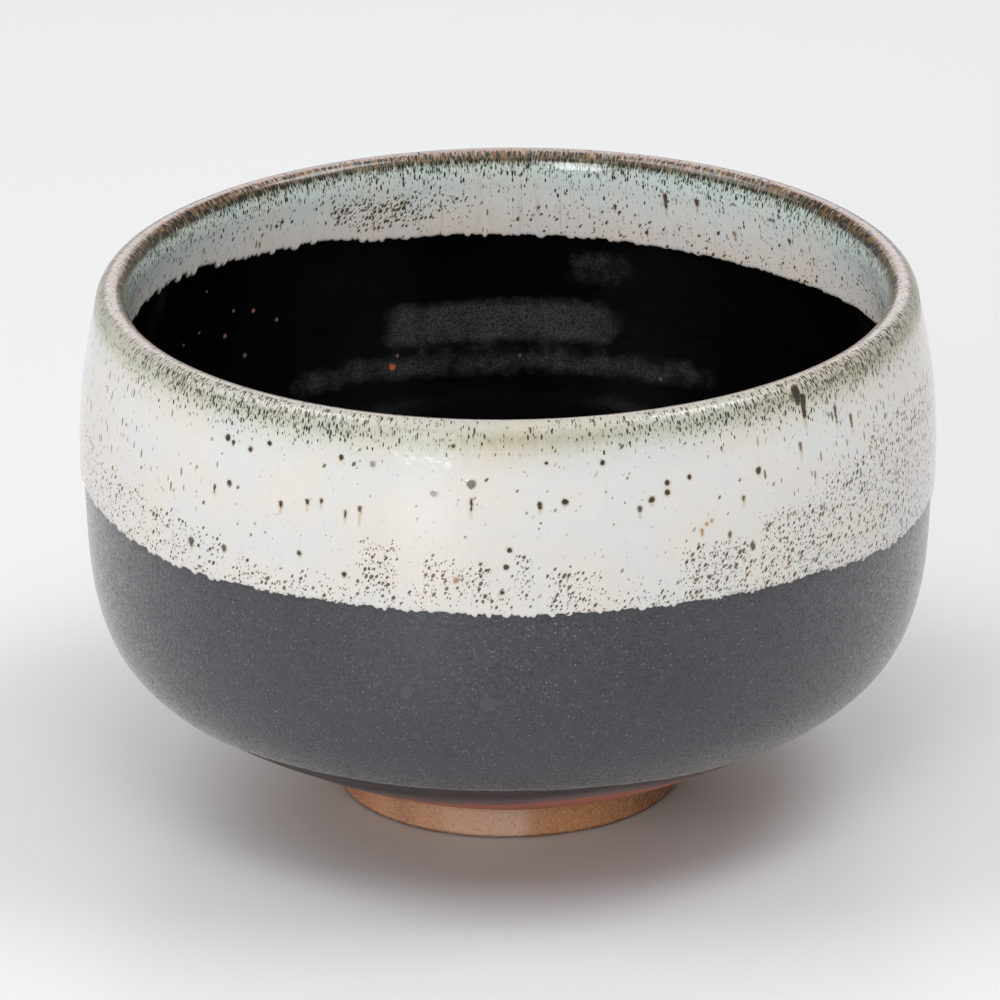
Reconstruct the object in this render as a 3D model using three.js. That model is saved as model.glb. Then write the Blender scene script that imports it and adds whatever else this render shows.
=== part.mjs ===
// Matcha bowl: a wheel-thrown stoneware tea bowl, built up in the layers it is made of.
// The clay body stands on a turned foot ring. A charcoal coat covers the outside, a black coat
// covers the inside, and a white band is dipped over both at the lip. A thin run of glaze ends
// the outside coat above the foot. Every solid is turned about the Z axis.
// Millimetres, +Z up, origin at the middle of the plane that the foot stands on.
import * as THREE from 'three';

// Driving dimensions. The outline is the face of the base coats, under the white band.
const BELLY_RADIUS = 59.5;
const WALL_THICKNESS = 4.3; // between the charcoal face and the black face at mid height
const LIP_RADIUS = 55.1; // middle of the rounded lip
const LIP_HEIGHT = 72.5; // centre of the lip's rounding
const LIP_ROUNDING = 1.7; // half of the lip's thickness, without the white band
const POOL_HEIGHT = 12.3; // bottom of the tea pool inside
const FOOT_RADIUS = 23.8; // outside of the foot where it stands
const FOOT_HEIGHT = 5.0;
const FOOT_WALL = 5.6;
const FOOT_EDGE = 0.7; // eased edges of the foot
const WHITE_LINE_OUTSIDE = 47.0; // lower edges of the white band
const WHITE_LINE_INSIDE = 62.0;
const CHARCOAL_LINE = 17.0; // lower edge of the outside coat
const THIN_LINE = 8.5; // lower edge of the thin run below it
const BASE_COAT = 0.5; // charcoal and black coats
const WHITE_COAT = 0.45;
const THIN_COAT = 0.2;
const BOND_GAP = 0.05; // air between fused layers, which keeps the solids apart

// Resolution of the turned solids
const FACETS = 40;
const OUTSIDE_STEPS = 13;
const LIP_STEPS = 4;
const INSIDE_STEPS = 11;

const vector = ([radius, height]) => new THREE.Vector2(radius, height);

// A smooth curve through [radius, height] points, cut into equal steps.
function smooth(points, steps) {
  return new THREE.SplineCurve(points.map(vector)).getSpacedPoints(steps);
}

// The base coats' face, from the foot up the outside, over the lip and down to the tea pool.
function faceOutline() {
  const bore = BELLY_RADIUS - WALL_THICKNESS;
  const outside = smooth([
    [FOOT_RADIUS + 2.4, FOOT_HEIGHT + 0.4],
    [33.5, 8.1],
    [41.2, 12.2],
    [49.3, 16.9],
    [54.6, 21.7],
    [57.9, 29.1],
    [BELLY_RADIUS - 0.3, 40.0],
    [BELLY_RADIUS, 51.0],
    [BELLY_RADIUS - 0.7, 62.0],
    [LIP_RADIUS + LIP_ROUNDING, LIP_HEIGHT],
  ], OUTSIDE_STEPS);
  const lip = new THREE.EllipseCurve(
    LIP_RADIUS, LIP_HEIGHT, LIP_ROUNDING, LIP_ROUNDING, 0, Math.PI,
  ).getPoints(LIP_STEPS).slice(1, -1);
  const inside = smooth([
    [LIP_RADIUS - LIP_ROUNDING, LIP_HEIGHT],
    [bore - 0.4, 62.0],
    [bore, 51.0],
    [bore - 0.4, 40.0],
    [bore - 2.4, 29.5],
    [bore - 7.0, 22.3],
    [38.0, 16.8],
    [18.0, 13.3],
    [0, POOL_HEIGHT],
  ], INSIDE_STEPS);
  return [...outside, ...lip, ...inside];
}

// Unit normals that point out of the clay; on the axis the normal is vertical.
function faceNormals(points) {
  return points.map((point, i) => {
    if (i === points.length - 1) return new THREE.Vector2(0, 1);
    const along = points[i + 1].clone().sub(points[Math.max(i - 1, 0)]).normalize();
    return new THREE.Vector2(along.y, -along.x);
  });
}

const outline = faceOutline();
const normals = faceNormals(outline);
const lastPoint = outline.length - 1;
const crest = OUTSIDE_STEPS + LIP_STEPS / 2; // index of the outline's highest point

// A stretch of the outline moved out of the clay by a depth, or into it when negative.
function moved(first, last, depth) {
  return outline.slice(first, last + 1).map(
    (point, i) => point.clone().addScaledVector(normals[first + i], depth),
  );
}

// Closed section of a coat between two depths along a stretch of the outline. Its first end is
// set back a little, clear of the coat that ends there.
function coat(first, last, inner, outer) {
  const [under, over] = [inner, outer].map((depth) => {
    const face = moved(first, last, depth);
    face[0].lerp(face[1], BOND_GAP / face[0].distanceTo(face[1]));
    return face;
  });
  const section = [...under.reverse(), ...over];
  if (last < lastPoint) section.push(section[0].clone());
  return section;
}

// Index of the outline point nearest to a height, on one side of the lip's crest.
function indexAt(height, side) {
  const [first, last] = side === 'outside' ? [0, crest] : [crest, lastPoint];
  let nearest = first;
  for (let i = first; i <= last; i += 1) {
    const miss = Math.abs(outline[i].y - height);
    if (miss < Math.abs(outline[nearest].y - height)) nearest = i;
  }
  return nearest;
}

// A named solid turned about the Z axis from a closed section.
function turned(name, section, color, roughness) {
  const geometry = new THREE.LatheGeometry(section, FACETS);
  geometry.rotateX(Math.PI / 2);
  const material = new THREE.MeshStandardMaterial({ color, roughness, metalness: 0 });
  const mesh = new THREE.Mesh(geometry, material);
  mesh.name = name;
  return mesh;
}

// Thrown wall and floor, flat underneath where the foot ring is joined.
function clayBody() {
  const section = [
    vector([0, FOOT_HEIGHT]),
    vector([FOOT_RADIUS + 1.6, FOOT_HEIGHT]),
    ...moved(0, lastPoint, -BASE_COAT - BOND_GAP),
  ];
  return turned('clay_body', section, 0x9c6c4e, 0.9);
}

// Bare turned foot ring with eased edges and a tapered inner wall.
function footRing() {
  const top = FOOT_HEIGHT - BOND_GAP;
  const inside = FOOT_RADIUS - FOOT_WALL;
  const section = [
    [inside + FOOT_EDGE, 0],
    [FOOT_RADIUS - FOOT_EDGE, 0],
    [FOOT_RADIUS, FOOT_EDGE],
    [FOOT_RADIUS + 0.2, top - 1.2],
    [FOOT_RADIUS + 1.4, top],
    [inside - 1.0, top],
    [inside, FOOT_EDGE],
    [inside + FOOT_EDGE, 0],
  ].map(vector);
  return turned('foot_ring', section, 0xab7a58, 0.92);
}

// Glaze coats, from the thin run above the foot up to the band over the lip.
function glazeCoats() {
  const charcoalStart = indexAt(CHARCOAL_LINE, 'outside');
  const thinStart = indexAt(THIN_LINE, 'outside');
  const thin = coat(thinStart, charcoalStart, -BASE_COAT, THIN_COAT - BASE_COAT);
  const charcoal = coat(charcoalStart, crest, -BASE_COAT, 0);
  const black = coat(crest, lastPoint, -BASE_COAT, 0);
  const white = coat(
    indexAt(WHITE_LINE_OUTSIDE, 'outside'),
    indexAt(WHITE_LINE_INSIDE, 'inside'),
    BOND_GAP,
    BOND_GAP + WHITE_COAT,
  );
  return [
    turned('thin_glaze_run', thin, 0x6d4c48, 0.5),
    turned('charcoal_glaze', charcoal, 0x4a4b50, 0.45),
    turned('black_glaze', black, 0x0b0909, 0.08),
    turned('white_glaze_band', white, 0xe3ded4, 0.2),
  ];
}

const bowl = new THREE.Group();
bowl.name = 'matcha_bowl';
bowl.add(clayBody(), footRing(), ...glazeCoats());

export default bowl;
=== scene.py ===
"""Matcha bowl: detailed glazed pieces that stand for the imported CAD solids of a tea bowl."""
import math

import bpy
import numpy as np
from mathutils import Matrix, Vector


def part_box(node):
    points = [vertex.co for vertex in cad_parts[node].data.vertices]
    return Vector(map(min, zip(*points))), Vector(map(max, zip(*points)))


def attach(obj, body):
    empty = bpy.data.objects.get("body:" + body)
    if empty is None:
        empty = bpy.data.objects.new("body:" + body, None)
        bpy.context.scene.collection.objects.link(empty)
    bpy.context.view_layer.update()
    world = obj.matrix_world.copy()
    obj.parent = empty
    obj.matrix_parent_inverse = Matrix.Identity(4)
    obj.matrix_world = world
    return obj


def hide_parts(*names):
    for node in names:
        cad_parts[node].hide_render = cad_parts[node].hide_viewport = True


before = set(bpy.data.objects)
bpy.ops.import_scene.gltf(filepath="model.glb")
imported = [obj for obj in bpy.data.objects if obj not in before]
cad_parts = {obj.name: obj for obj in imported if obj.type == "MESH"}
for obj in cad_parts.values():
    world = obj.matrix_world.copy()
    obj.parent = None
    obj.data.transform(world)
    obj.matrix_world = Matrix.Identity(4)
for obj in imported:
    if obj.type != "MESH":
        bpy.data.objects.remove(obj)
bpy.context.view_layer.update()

MM = 0.001  # a millimetre in metres

# Sizes of the bowl in millimetres, from the CAD boxes where they give them
BASE_COAT = 0.5  # charcoal and black coats
WHITE_COAT = 0.45
THIN_COAT = 0.2
GAP = 0.05  # air between fused layers
FOOT_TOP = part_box("clay_body")[0].z / MM
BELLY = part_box("charcoal_glaze")[1].x / MM
LIP_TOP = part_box("black_glaze")[1].z / MM
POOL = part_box("black_glaze")[0].z / MM + BASE_COAT  # bottom of the tea pool
WALL = 4.3
BORE = BELLY - WALL
FOOT_RADIUS = 24.2
FOOT_WALL = 6.0
LIP_RADIUS = 55.1  # middle of the rounded lip
LIP_ROUNDING = 1.7  # half of the lip's thickness, without the white band
LIP_HEIGHT = LIP_TOP - LIP_ROUNDING
LIP_FLARE = 3.3  # the lip's inner side rounds over this height
LEAN = 0.25  # the rim stands this far to the right of the foot
RISE = (4.0, 74.0)  # lean and wobble grow between these heights
THIN_TOP = 20.5  # the thin run goes on up to here, under the charcoal coat
UNDERSIDE = 25.6  # radius of the flat underside of the clay
POLE_GAP = 0.6  # rings stop this far from the axis

# Outline of the base coats' face as (radius, height). The inside runs on past the axis, so that
# its curve is level there.
OUTSIDE = [
    (26.2, FOOT_TOP + 0.4), (33.5, 8.1), (41.2, 12.2), (49.3, 16.9), (54.6, 21.7), (57.9, 29.1),
    (BELLY - 0.3, 40.0), (BELLY, 51.0), (BELLY - 0.7, 62.0),
    (LIP_RADIUS + LIP_ROUNDING, LIP_HEIGHT),
]
INSIDE = [
    (LIP_RADIUS - LIP_ROUNDING, LIP_TOP - LIP_FLARE),
    (BORE - 0.4, 62.0), (BORE, 51.0), (BORE - 0.4, 40.0), (BORE - 2.4, 29.5), (BORE - 7.0, 22.3),
    (38.0, 16.8), (18.0, 13.3), (0.0, POOL), (-18.0, 13.3), (-38.0, 16.8),
]
STEP = 0.05  # spacing of the outline's points
LIP_POINTS = 110
SMOOTHING = 0.45  # standard deviation of the smoothing, in millimetres
SMOOTHING_REACH = 60  # points that the smoothing takes in on each side
FIRST_POINTS = 6  # points at the foot end that the smoothing bends, left out

# Points round the axis
SEGMENTS = 720
SEGMENTS_CLAY = 480
SEGMENTS_WHITE = 1560
WRAP = 58.0  # radius of the circle that the white band's patterns lie on


def spline(points):
    """Natural cubic spline through points, in even steps along its chords."""
    p = np.array(points, float)
    t = np.r_[0, np.cumsum(np.hypot(*np.diff(p, axis=0).T))]
    h, n = np.diff(t), len(p)
    rows, bend = np.eye(n), np.zeros((n, 2))
    for i in range(1, n - 1):
        rows[i, i - 1:i + 2] = h[i - 1], 2 * (h[i - 1] + h[i]), h[i]
        bend[i] = 6 * ((p[i + 1] - p[i]) / h[i] - (p[i] - p[i - 1]) / h[i - 1])
    bend = np.linalg.solve(rows, bend)
    u = np.arange(0, t[-1], STEP)
    i = np.clip(np.searchsorted(t, u, "right") - 1, 0, n - 2)
    w = h[i][:, None]
    a, c = (t[i + 1] - u)[:, None] / w, (u - t[i])[:, None] / w
    return a * p[i] + c * p[i + 1] + ((a**3 - a) * bend[i] + (c**3 - c) * bend[i + 1]) * w**2 / 6


def make_outline():
    """Arc length from the lip's crest (outside positive), radius, height and outward normal."""
    turn = np.linspace(0, math.pi, LIP_POINTS)[1:-1]
    tall = np.where(turn < math.pi / 2, LIP_ROUNDING, LIP_FLARE)
    lip = np.c_[LIP_RADIUS + LIP_ROUNDING * np.cos(turn), LIP_TOP - tall * (1 - np.sin(turn))]
    path = np.vstack([spline(OUTSIDE), lip, spline(INSIDE)])
    t = np.r_[0, np.cumsum(np.hypot(*np.diff(path, axis=0).T))]
    even = np.arange(0, t[-1], STEP)
    path = np.c_[np.interp(even, t, path[:, 0]), np.interp(even, t, path[:, 1])]
    reach = np.arange(-SMOOTHING_REACH, SMOOTHING_REACH + 1)
    weight = np.exp(-(reach * STEP / SMOOTHING) ** 2 / 2)
    padded = np.pad(path, ((SMOOTHING_REACH, SMOOTHING_REACH), (0, 0)), "edge")
    path = np.c_[[np.convolve(padded[:, k], weight / weight.sum(), "valid") for k in (0, 1)]].T
    along = np.gradient(path, axis=0)
    along /= np.hypot(*along.T)[:, None]
    keep = (path[:, 0] > 0) & (np.arange(len(path)) > FIRST_POINTS)
    path, along = path[keep], along[keep]
    s = (np.argmax(path[:, 1]) - np.arange(len(path))) * STEP
    return s[::-1], path[::-1], np.c_[along[:, 1], -along[:, 0]][::-1]


ARC, FACE, NORMAL = make_outline()


def on_outline(s, depth):
    """Radius and height of a point at arc length s, a depth out of the base coats' face."""
    r, z = (np.interp(s, ARC, FACE[:, k]) + depth * np.interp(s, ARC, NORMAL[:, k]) for k in (0, 1))
    return np.maximum(r, 0.0), z


def arc_at(height, outside=True):
    """Arc length of the outline at a height, on the outside or the inside."""
    side = ARC > 0 if outside else ARC < 0
    order = np.argsort(FACE[side, 1])
    return np.interp(height, FACE[side, 1][order], ARC[side][order])


def ease(value, low, high):
    """Smooth step from 0 at low to 1 at high."""
    t = np.clip((value - low) / (high - low), 0, 1)
    return t * t * (3 - 2 * t)


def azimuths(segments):
    """Angles of the points round the axis."""
    return np.arange(segments) * 2 * math.pi / segments


def settle(r, angle, z):
    """Millimetre points of the thrown form with the small lean and wobble that the hand left."""
    up = ease(z, *RISE)
    wobble = 0.07 * np.cos(2 * angle + 0.7) + 0.05 * np.cos(3 * angle + 2.1)
    r = r + up * ease(r, 8, 50) * wobble
    x, y = r * np.cos(angle) + LEAN * up, r * np.sin(angle)
    return np.stack([x, y, z + 0 * x], -1)


def grid_faces(rows, segments, poles):
    """Quads between rings; a chain that starts and ends in a pole, or a closed loop of rings."""
    k = np.arange(segments)
    right = (k + 1) % segments
    faces = []
    for row in range(rows - 1 if poles else rows):
        low, high = row * segments, (row + 1) % rows * segments
        faces.append(np.stack([low + k, low + right, high + right, high + k], -1))
    quads = np.concatenate(faces).tolist()
    if poles:
        first, last, top = rows * segments, rows * segments + 1, (rows - 1) * segments
        quads += [[first, int(b), int(a)] for a, b in zip(k, right)]
        quads += [[top + int(a), top + int(b), last] for a, b in zip(k, right)]
    return quads


def keep_values(piece, name, values, domain="POINT"):
    """Stores one vector for each vertex of a piece, or for each face."""
    attribute = piece.data.attributes.new(name, "FLOAT_VECTOR", domain)
    attribute.data.foreach_set("vector", np.ascontiguousarray(values, np.float32).ravel())


def turned(name, r, z, angle, poles=None, arc=None):
    """A turned piece from rings of radius and height. Its "place" values are the millimetre
    coordinates, or where an arc length is given, the azimuth on a circle and that arc length."""
    rows, segments = r.shape
    points = settle(r, angle, z).reshape(-1, 3)
    place = points.copy()
    if arc is not None:
        circle = np.stack([WRAP * np.cos(angle), WRAP * np.sin(angle)], -1)
        circle = np.broadcast_to(circle, (rows, segments, 2))
        place = np.concatenate([circle, arc[:, :, None]], -1).reshape(-1, 3)
    if poles:
        ends = np.array([[LEAN * ease(h, *RISE), 0, h] for h in poles])
        points, place = np.vstack([points, ends]), np.vstack([place, ends])
    mesh = bpy.data.meshes.new(name)
    mesh.from_pydata((points * MM).tolist(), [], grid_faces(rows, segments, bool(poles)))
    mesh.shade_smooth()
    mesh.update()
    piece = bpy.data.objects.new(name, mesh)
    bpy.context.scene.collection.objects.link(piece)
    keep_values(piece, "place", place)
    return piece


def finish_piece(piece, node, material):
    """Gives a piece its material and slot, hangs it under the root body and hides the CAD node it stands
    for.
    """
    piece.data.materials.append(material)
    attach(piece, "root")
    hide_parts(node)


# ---------------------------------------------------------------- pieces

def scallops(angle, radius, spacing, depth, seed):
    """Rounded runs of glaze with sharp notches between them, in millimetres below a line."""
    rng = np.random.default_rng(seed)
    count = int(2 * math.pi * radius / spacing)
    width = rng.uniform(spacing * 0.5, spacing * 1.5, count)
    cuts = np.r_[0, np.cumsum(width)] / width.sum() * 2 * math.pi
    size = depth * rng.uniform(0.25, 1.0, len(width)) ** 1.3
    turn = angle % (2 * math.pi)
    i = np.clip(np.searchsorted(cuts, turn, "right") - 1, 0, len(width) - 1)
    u = (turn - cuts[i]) / (cuts[i + 1] - cuts[i])
    return size[i] * np.sqrt(np.clip(4 * u * (1 - u), 0, 1))


def rounded(inward, radius):
    """Rise of a coat's rounded edge, from 0 at the edge to 1 a radius inward from it."""
    return np.sqrt(np.clip(1 - (1 - np.clip(inward / radius, 0, 1)) ** 2, 0, 1))


def by_azimuth(angle, knots):
    """Smooth periodic value through (azimuth in degrees, value) knots."""
    knots = sorted(knots)
    at = np.array([k[0] for k in knots])
    value = np.array([k[1] for k in knots])
    degrees = (np.degrees(angle) - at[0]) % 360 + at[0]
    at, value = np.r_[at, at[0] + 360], np.r_[value, value[0]]
    i = np.clip(np.searchsorted(at, degrees, "right") - 1, 0, len(at) - 2)
    return value[i] + (value[i + 1] - value[i]) * ease((degrees - at[i]) / (at[i + 1] - at[i]), 0, 1)


def off_middle(angle, start, stop):
    """Degrees between each azimuth and the middle of a range, and half the range."""
    middle, half = (start + stop) / 2, (stop - start) / 2
    return np.abs((np.degrees(angle) - middle + 180) % 360 - 180), half


# In these tables the azimuth is in degrees, 0 along +X and -90 to the front, and comes first.
# Heights of the white band's two edges, of the charcoal coat's and the thin run's lower edges,
# and of the line below which the thin run is reddish
WHITE_EDGE_OUTSIDE = [
    (-160, 48.0), (-140, 47.4), (-112, 48.2), (-74, 47.8), (-52, 47.1), (-25, 45.3), (20, 45.6),
    (90, 47.0), (150, 47.6),
]
WHITE_EDGE_INSIDE = [
    (-90, 62.0), (0, 61.8), (52, 60.6), (82, 61.2), (103, 61.6), (125, 63.5), (151, 65.5), (-170, 64.5),
]
CHARCOAL_LINE = [
    (-160, 17.4), (-146, 18.4), (-130, 18.9), (-105, 18.8), (-90, 18.8), (-75, 18.5), (-60, 17.7),
    (-40, 17), (90, 17.2),
]
THIN_LINE = [
    (-150, 11), (-124, 10.5), (-112, 9), (-100, 7.4), (-92, 6.8), (-74, 6.8), (-60, 8), (-40, 9.5),
    (90, 10),
]
RED_LINE = [
    (-150, 10), (-110, 11.0), (-92, 11.8), (-80, 13), (-74, 13.8), (-60, 13.4), (-40, 12.8),
    (0, 12.4), (90, 12),
]
# How deep the runs of the white band's inner edge are, on top of a small even depth
DEEP_RUNS = [(60, 0), (100, 0.2), (135, 1), (165, 1), (-150, 0.3), (-90, 0)]

# How thickly the dark strokes stand outside and inside, how yellow the break below the crest is,
# how mauve the crest is, and how thickly long dashes stand
STROKES_OUTSIDE = [
    (-180, .15), (-162, .2), (-148, .55), (-138, .95), (-125, .95), (-110, .6), (-100, .36), (-92, .18),
    (-84, .18), (-76, .4), (-68, .6), (-58, .85), (-40, 1.1), (-24, 1.0), (-12, .5), (4, .2), (60, .3),
    (120, .5),
]
STROKES_INSIDE = [
    (-90, .8), (20, 1), (50, .95), (80, .8), (105, .85), (130, 1), (160, 1), (-150, .8),
]
YELLOW = [
    (-180, .2), (-125, .1), (-108, .2), (-97, .5), (-90, .8), (-82, .6), (-72, .2), (-55, .3),
    (-30, .6), (20, .5), (90, .3),
]
MAUVE = [
    (-180, .9), (-150, .6), (-128, .15), (-90, 0), (-50, .1), (-25, .5), (0, .9), (90, 1), (140, 1),
]
DASHES = [
    (-180, .3), (-160, .35), (-140, .15), (-125, 0), (-60, 0), (-48, .25), (-38, .6), (-15, .6),
    (30, .3), (120, .3),
]

# Patches of fine iron specks: first and last azimuth, lowest and highest height, thickness, brownness
SPECKLE = [
    (-109.6, -105, 49.5, 57.3, .8, .3), (-107, -101, 48.6, 51.8, .55, .4),
    (-101.2, -97, 49.6, 55.4, .75, .6), (-96.6, -92.6, 49.8, 54.8, .95, .1),
    (-92.6, -89.5, 48.6, 51.2, .5, .3), (-89.2, -87.2, 49.5, 56, .7, .2),
    (-84.8, -80.6, 48.2, 54.1, .6, .2), (-80.4, -77.5, 48.2, 53.3, .5, .2),
    (-76, -68, 48, 51.5, .5, .2), (-66.8, -57, 47.6, 55.2, .85, .3), (-55, -44, 46.6, 57.5, .8, .2),
    (-58, -50, 47.2, 50.5, .6, .2), (-44, -22, 45.6, 60, .62, .1), (-34, -4, 46, 64, .5, .1),
    (-164, -146, 48, 56, .42, .1), (-146, -131, 48.2, 54, .5, .2), (-133, -109, 48.4, 52, .55, .3),
    (-180, -164, 47.5, 57, .45, .2), (-4, 60, 45.6, 60, .7, .2), (60, 120, 46.5, 56, .6, .3),
    (120, 180, 47.3, 58, .7, .2),
]
SPECKLE_INSIDE = [
    (103.5, 118, 65, 68.6, 1, .3), (96, 106, 64.2, 67.6, .6, .3), (70, 90, 62.4, 66, .3, .4),
    (42, 72, 61.2, 65.4, .26, .3), (22, 48, 61.6, 66, .26, .2), (118, 165, 65.3, 68.6, .08, .2),
    (165, 385, 62, 67, .3, .3),
]

# How thick and brown the specks are between the patches
SPECKLE_ELSEWHERE = (0.05, 0.3)

# Bands of matt haze in the black coat, greyed as a painted reflection: azimuth range, height range and
# strength
HAZE_AND_PAINTED_REFLECTION = [
    ((74, 108), (45.0, 50.9), 1.0), ((58, 124), (40.3, 43.3), 0.75), ((72, 80), (54.2, 58.8), 0.62),
    ((150, 210), (46, 52), 0.5), ((-60, 30), (45, 51), 0.5), ((-140, -80), (40, 48), 0.5),
    ((160, 260), (39.5, 42), 0.4), ((-90, 50), (39.5, 42), 0.4),
]

# How pale and how golden the bare clay of the foot is, and how much painted shade darkens it
FOOT_PALE = [(-150, 0), (-118, .2), (-106, .8), (-88, 1), (-80, .4), (-72, 0), (60, 0), (110, .4)]
FOOT_GOLD = [(-120, 0), (-88, 0), (-79, .7), (-66, .9), (-40, .6), (20, 0)]
FOOT_PAINTED_SHADE = [(-66, 0), (-50, .2), (-34, .6), (-12, .6), (20, 0)]


def white_edges(angle):
    """Arc lengths of the white band's two edges at each azimuth."""
    middle = 0.3  # puts the runs about evenly on both sides of the line
    low = arc_at(by_azimuth(angle, WHITE_EDGE_OUTSIDE), True)
    low = low + scallops(angle, radius=59.5, spacing=1.05, depth=0.75, seed=5)
    low = low + scallops(angle, radius=59.5, spacing=0.42, depth=0.16, seed=6) - middle
    inner = arc_at(by_azimuth(angle, WHITE_EDGE_INSIDE), False)
    deep = 0.45 + 0.9 * by_azimuth(angle, DEEP_RUNS)
    inner = inner - deep * scallops(angle, radius=55, spacing=1.3, depth=1.0, seed=7)
    inner = inner - scallops(angle, radius=55, spacing=0.45, depth=0.16, seed=8) + middle
    return low, inner


def white_band():
    """The dipped white band with its scalloped, beaded edges."""
    angle = azimuths(SEGMENTS_WHITE)
    low, inner = white_edges(angle)
    # rings crowd on both beaded edges and over the crest
    bead = np.array([0.0, 0.05, 0.14, 0.28, 0.48, 0.8, 1.3])
    wall = np.r_[np.linspace(23.5, 5.0, 23), np.linspace(4.4, -4.4, 15), np.linspace(-5.1, -8.5, 5)]
    rows = [low - d for d in bead]
    for s in wall:
        rows.append(s + (low - low.mean()) * ease(s, 12, 24) + (inner - inner.mean()) * ease(-s, 3, 9))
    rows += [inner + d for d in bead[::-1]]
    over = np.array(rows)
    # the glaze is thin over the crest, and gathers just below it
    thin = 0.35 * np.exp(-((over - 0.3) / 1.6) ** 2)
    ridge = 0.16 * np.exp(-((over - 3.2) / 0.9) ** 2)
    edge = np.minimum(low - over, over - inner)
    depth = GAP + WHITE_COAT * rounded(edge, 0.5) * (1 - thin + ridge)
    back = np.linspace(0, 1, 7)[1:-1, None]
    under = inner * (1 - back) + low * back
    s = np.vstack([over, under])
    d = np.vstack([depth, np.full(under.shape, GAP)])
    r, z = on_outline(s, d)
    band = turned("white_band", r, z, angle, arc=s)
    round_angle = (angle + math.pi) % (2 * math.pi) - math.pi
    keep_values(band, "flat", np.stack([WRAP * round_angle + 0 * s, s, 0 * s], -1))
    keep_values(band, "zone", band_zones(angle, s))
    keep_values(band, "speckle", speckle_zones(angle, s, z))
    return band


def speckle_zones(angle, s, z):
    """How thickly fine specks stand, how brown they are and how thickly dashes stand, at each
    point of the band."""
    total, brown = (level + 0 * s for level in SPECKLE_ELSEWHERE)
    # a patch fades over about a degree and a millimetre at its borders
    for patches, side in ((SPECKLE, s > 0), (SPECKLE_INSIDE, s < 0)):
        for start, stop, low, high, amount, tone in patches:
            away, half = off_middle(angle, start, stop)
            here = amount * ease(away, half + 0.9, half - 0.6) * ease(z, low - 0.8, low + 0.4) * side
            here = here * ease(z, high + 1.2, high - 0.6)
            total, brown = np.maximum(total, here), np.where(here > total, tone, brown)
    long = by_azimuth(angle, DASHES) * ease(z, 54, 60) * (s > 0) + 0.12 * (s < 0)
    return np.stack([total, brown, long], -1)


def band_zones(angle, s):
    """Stroke density, yellowness and mauveness at each point of the band."""
    outside = ease(s, -0.6, 0.6)
    strokes = by_azimuth(angle, STROKES_OUTSIDE) * outside
    strokes = strokes + by_azimuth(angle, STROKES_INSIDE) * (1 - outside)
    yellow, mauve = (by_azimuth(angle, table) + 0 * s for table in (YELLOW, MAUVE))
    return np.stack([strokes, yellow, mauve], -1)


def charcoal_coat():
    """The outside coat, from its uneven lower edge up to the crest of the lip."""
    angle = azimuths(SEGMENTS)
    edge = arc_at(by_azimuth(angle, CHARCOAL_LINE))
    edge = edge + scallops(angle, radius=49, spacing=3.0, depth=0.35, seed=11)
    bead = np.array([0, 0.06, 0.16, 0.32, 0.6, 1.0, 1.6])
    t = np.linspace(0, 1, 54)[1:, None]
    over = np.vstack([edge - d for d in bead] + [(edge - bead[-1]) * (1 - t)])
    face = -BASE_COAT * (1 - rounded(edge - over, 0.55))
    under = over[::-1][:-1]
    s = np.vstack([over, under])
    d = np.vstack([face, np.full(under.shape, -BASE_COAT)])
    r, z = on_outline(s, d)
    coat = turned("charcoal_coat", r, z, angle)
    # distance above the lower edge, which sets the glaze's painted shade
    keep_values(coat, "zone", np.repeat((edge - s)[:, :, None], 3, 2))
    place_spots(coat, [(*blister, 0) for blister in BLISTERS], True)
    return coat


def black_coat():
    """The inside coat over wall and tea pool, with faint throwing ridges."""
    angle = azimuths(SEGMENTS)
    end = ARC[0] + POLE_GAP
    under = np.linspace(end, 0, 40)[:-1, None] + 0 * angle
    over = np.linspace(0, end, 96)[:, None] + 0 * angle
    ridge = 0.05 * np.sin(over / 3.1) * ease(-over, 16, 30)
    s, d = np.vstack([under, over]), np.vstack([np.full(under.shape, -BASE_COAT), ridge])
    r, z = on_outline(s, d)
    coat = turned("black_coat", r, z, angle, poles=(POOL - BASE_COAT, POOL))
    # strength of the haze bands, whose grey colour is a painted reflection
    haze_and_reflection = np.vstack([haze_and_reflection_bands(angle, z).reshape(-1, 1), [[0], [0]]])
    keep_values(coat, "zone", np.repeat(haze_and_reflection, 3, 1))
    place_spots(coat, PINHOLES, False)
    return coat


def haze_and_reflection_bands(angle, z):
    """Strength of the matt haze and its painted reflection at each point, which fades softly at the
    borders of a band.
    """
    total = np.zeros(z.shape)
    for (start, stop), (low, high), strength in HAZE_AND_PAINTED_REFLECTION:
        away, half = off_middle(angle, start, stop)
        level = ease(z, low - 1.5, low + 1.0) * ease(z, high + 1.5, high - 1.0)
        total = np.maximum(total, strength * level * ease(away, half + 4, half - 4))
    return total


def thin_run():
    """The thin run of glaze below the charcoal coat, ending in a soft uneven line."""
    angle = azimuths(SEGMENTS)
    edge = arc_at(by_azimuth(angle, THIN_LINE))
    edge = edge + scallops(angle, radius=35, spacing=4.0, depth=0.5, seed=21)
    top = arc_at(THIN_TOP)
    t = np.linspace(0, 1, 24)[:, None]
    over = edge * (1 - t) + top * t
    under = over[::-1]
    s = np.vstack([over, under])
    lift = 0.01  # keeps the two faces apart at the lower edge
    face = -BASE_COAT + THIN_COAT * rounded(edge - over, 0.5) + lift
    d = np.vstack([face, np.full(under.shape, -BASE_COAT)])
    r, z = on_outline(s, d)
    run = turned("thin_run", r, z, angle)
    keep_values(run, "zone", np.stack([by_azimuth(angle, RED_LINE) + 0 * s] * 3, -1))
    return run


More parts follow.
